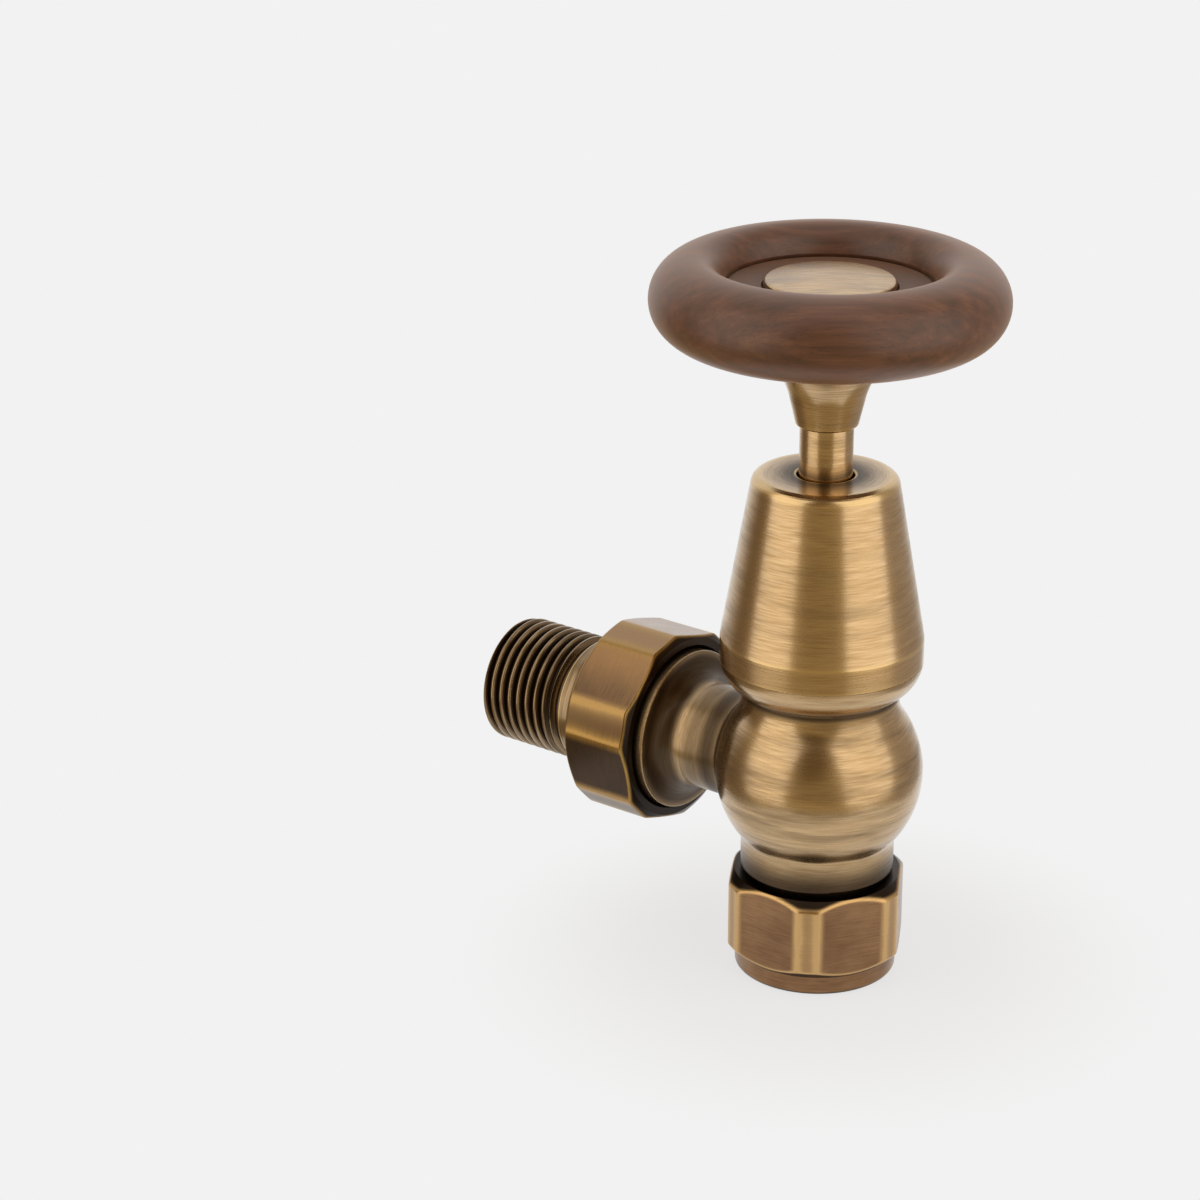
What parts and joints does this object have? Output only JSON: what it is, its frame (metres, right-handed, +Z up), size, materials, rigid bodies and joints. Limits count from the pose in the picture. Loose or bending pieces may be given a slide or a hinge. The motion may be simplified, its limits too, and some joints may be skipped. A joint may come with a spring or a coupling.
{
  "type": "manual radiator valve",
  "caption": "Angle-pattern manual radiator valve with a turned wooden hand wheel, tapered shroud, ball-shaped body, union tail and compression pipe inlet.",
  "frame": {"origin": "centre of the pipe hole, on the foot face of the compression nut", "axes": "+Z up the spindle towards the hand wheel, -X along the radiator tail"},
  "size_m": [0.0894, 0.0554, 0.1186],
  "materials": {
    "antique_brass": "brushed and darkened, satin",
    "plain_brass": "as machined",
    "walnut": "turned, stained and lacquered, satin",
    "rubber": "moulded, matt",
    "fibre": "pressed fibre, matt",
    "packing": "waxy, matt",
    "steel": "bright zinc"
  },
  "bodies": {
    "valve": {"valve_body": "antique_brass", "union_washer": "fibre", "bonnet_washer": "fibre", "bonnet": "plain_brass", "stem_packing": "packing", "gland_follower": "plain_brass", "gland_nut": "plain_brass", "shroud": "antique_brass"},
    "disc": {"disc_holder": "plain_brass", "seat_washer": "rubber", "washer_screw": "plain_brass"},
    "wheel": {"spindle": "antique_brass", "disc_clip": "steel", "wheel_hub": "antique_brass", "hand_wheel": "walnut", "screw_washer": "steel", "wheel_screw": "steel", "wheel_cap": "antique_brass"},
    "tail": {"tailpiece": "antique_brass"},
    "tail_nut": {"union_nut": "antique_brass"},
    "pipe_ring": {"olive": "plain_brass"},
    "pipe_nut": {"compression_nut": "antique_brass"}
  },
  "joints": [
    {"name": "disc_lift", "type": "slide", "parent": "valve", "child": "disc", "axis": [0, 0, 1], "range_m": [-0.0045, 0]},
    {"name": "wheel_turn", "type": "hinge", "parent": "disc", "child": "wheel", "pos_m": [0, 0, 0.088], "axis": [0, 0, 1], "range_deg": [-1080, 0]},
    {"name": "tail_draw", "type": "slide", "parent": "valve", "child": "tail", "axis": [-1, 0, 0], "range_m": [0, 0.00635]},
    {"name": "union_nut_turn", "type": "hinge", "parent": "tail", "child": "tail_nut", "pos_m": [-0.0335, 0, 0.034], "axis": [-1, 0, 0], "range_deg": [0, 1260]},
    {"name": "olive_draw", "type": "slide", "parent": "valve", "child": "pipe_ring", "axis": [0, 0, 1], "range_m": [0, 0.0005]},
    {"name": "pipe_nut_turn", "type": "hinge", "parent": "pipe_ring", "child": "pipe_nut", "pos_m": [0, 0, 0.009], "axis": [0, 0, 1], "range_deg": [0, 119]}
  ],
  "couplings": [
    {"joint": "disc_lift", "follows": "wheel_turn", "m_per_rad": 0.00023873},
    {"joint": "tail_draw", "follows": "union_nut_turn", "m_per_rad": 0.00028871},
    {"joint": "olive_draw", "follows": "pipe_nut_turn", "m_per_rad": 0.00023873}
  ]
}
